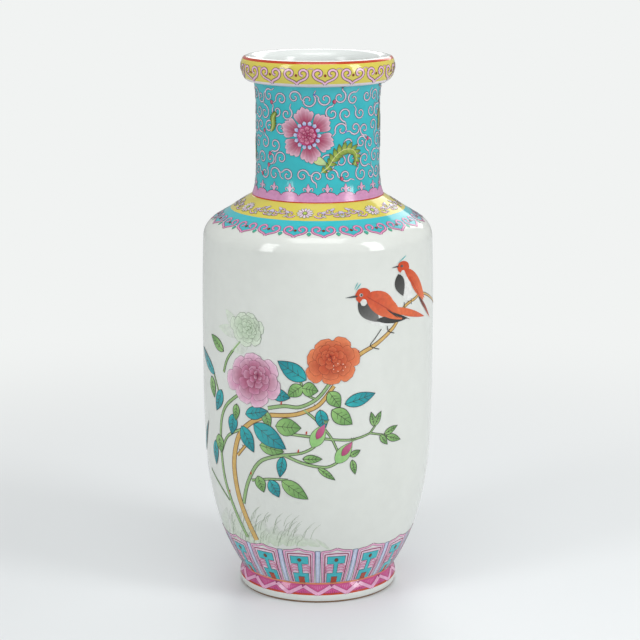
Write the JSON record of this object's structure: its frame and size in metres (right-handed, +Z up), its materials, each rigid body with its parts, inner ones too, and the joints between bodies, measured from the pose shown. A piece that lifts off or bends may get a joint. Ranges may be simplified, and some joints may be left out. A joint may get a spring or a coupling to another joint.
{
  "type": "straight-necked vase",
  "caption": "Porcelain vase, 360 mm tall, with a rolled rim, a near-cylindrical body and famille rose enamels.",
  "frame": {"origin": "centre of the standing ring, in the plane that the vase stands on", "axes": "+Z up along the vase's axis, +Y away from the pictured front, +X to the right seen from the front"},
  "size_m": [0.1548, 0.1548, 0.36],
  "materials": {
    "white_glaze": "gloss",
    "turquoise_enamel": "gloss",
    "yellow_enamel": "gloss",
    "pink_enamel": "gloss"
  },
  "bodies": {
    "root": {"foot_ring": "pink_enamel", "base_disc": "white_glaze", "lower_body": "white_glaze", "upper_body": "white_glaze", "shoulder": "yellow_enamel", "neck": "turquoise_enamel", "mouth_rim": "yellow_enamel"}
  },
  "joints": []
}
